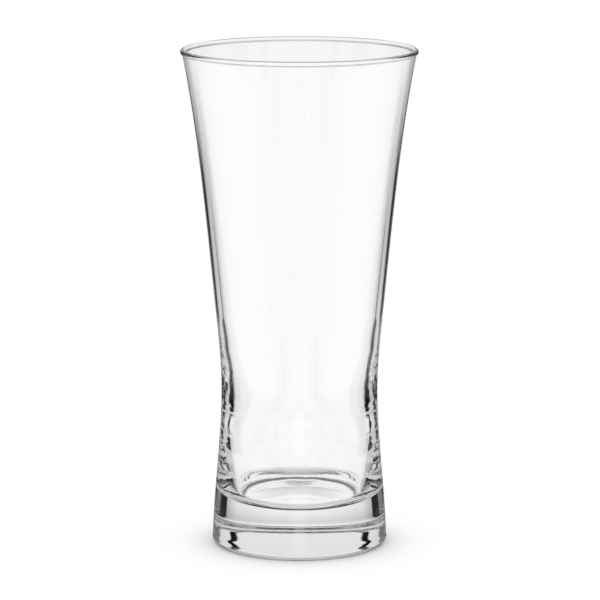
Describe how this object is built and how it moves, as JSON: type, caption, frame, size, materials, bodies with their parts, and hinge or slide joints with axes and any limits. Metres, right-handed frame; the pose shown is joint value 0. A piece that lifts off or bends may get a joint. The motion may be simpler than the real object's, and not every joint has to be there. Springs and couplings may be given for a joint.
{
  "type": "pilsner glass",
  "caption": "Tall clear beer glass with a thick solid base, a drawn-in waist and a bowl that flares smoothly to a rounded rim.",
  "frame": {"origin": "On the glass's axis, in the plane of the bearing ring that it stands on, which is the bottom centre of its box.", "axes": "+Z is the axis of revolution, from the table to the mouth. The glass is the same all round, so +X and +Y are free."},
  "size_m": [0.085, 0.085, 0.18],
  "materials": {
    "glass": "clear, fire polished"
  },
  "bodies": {
    "root": {"base": "glass", "bowl": "glass", "rim": "glass"}
  },
  "joints": []
}
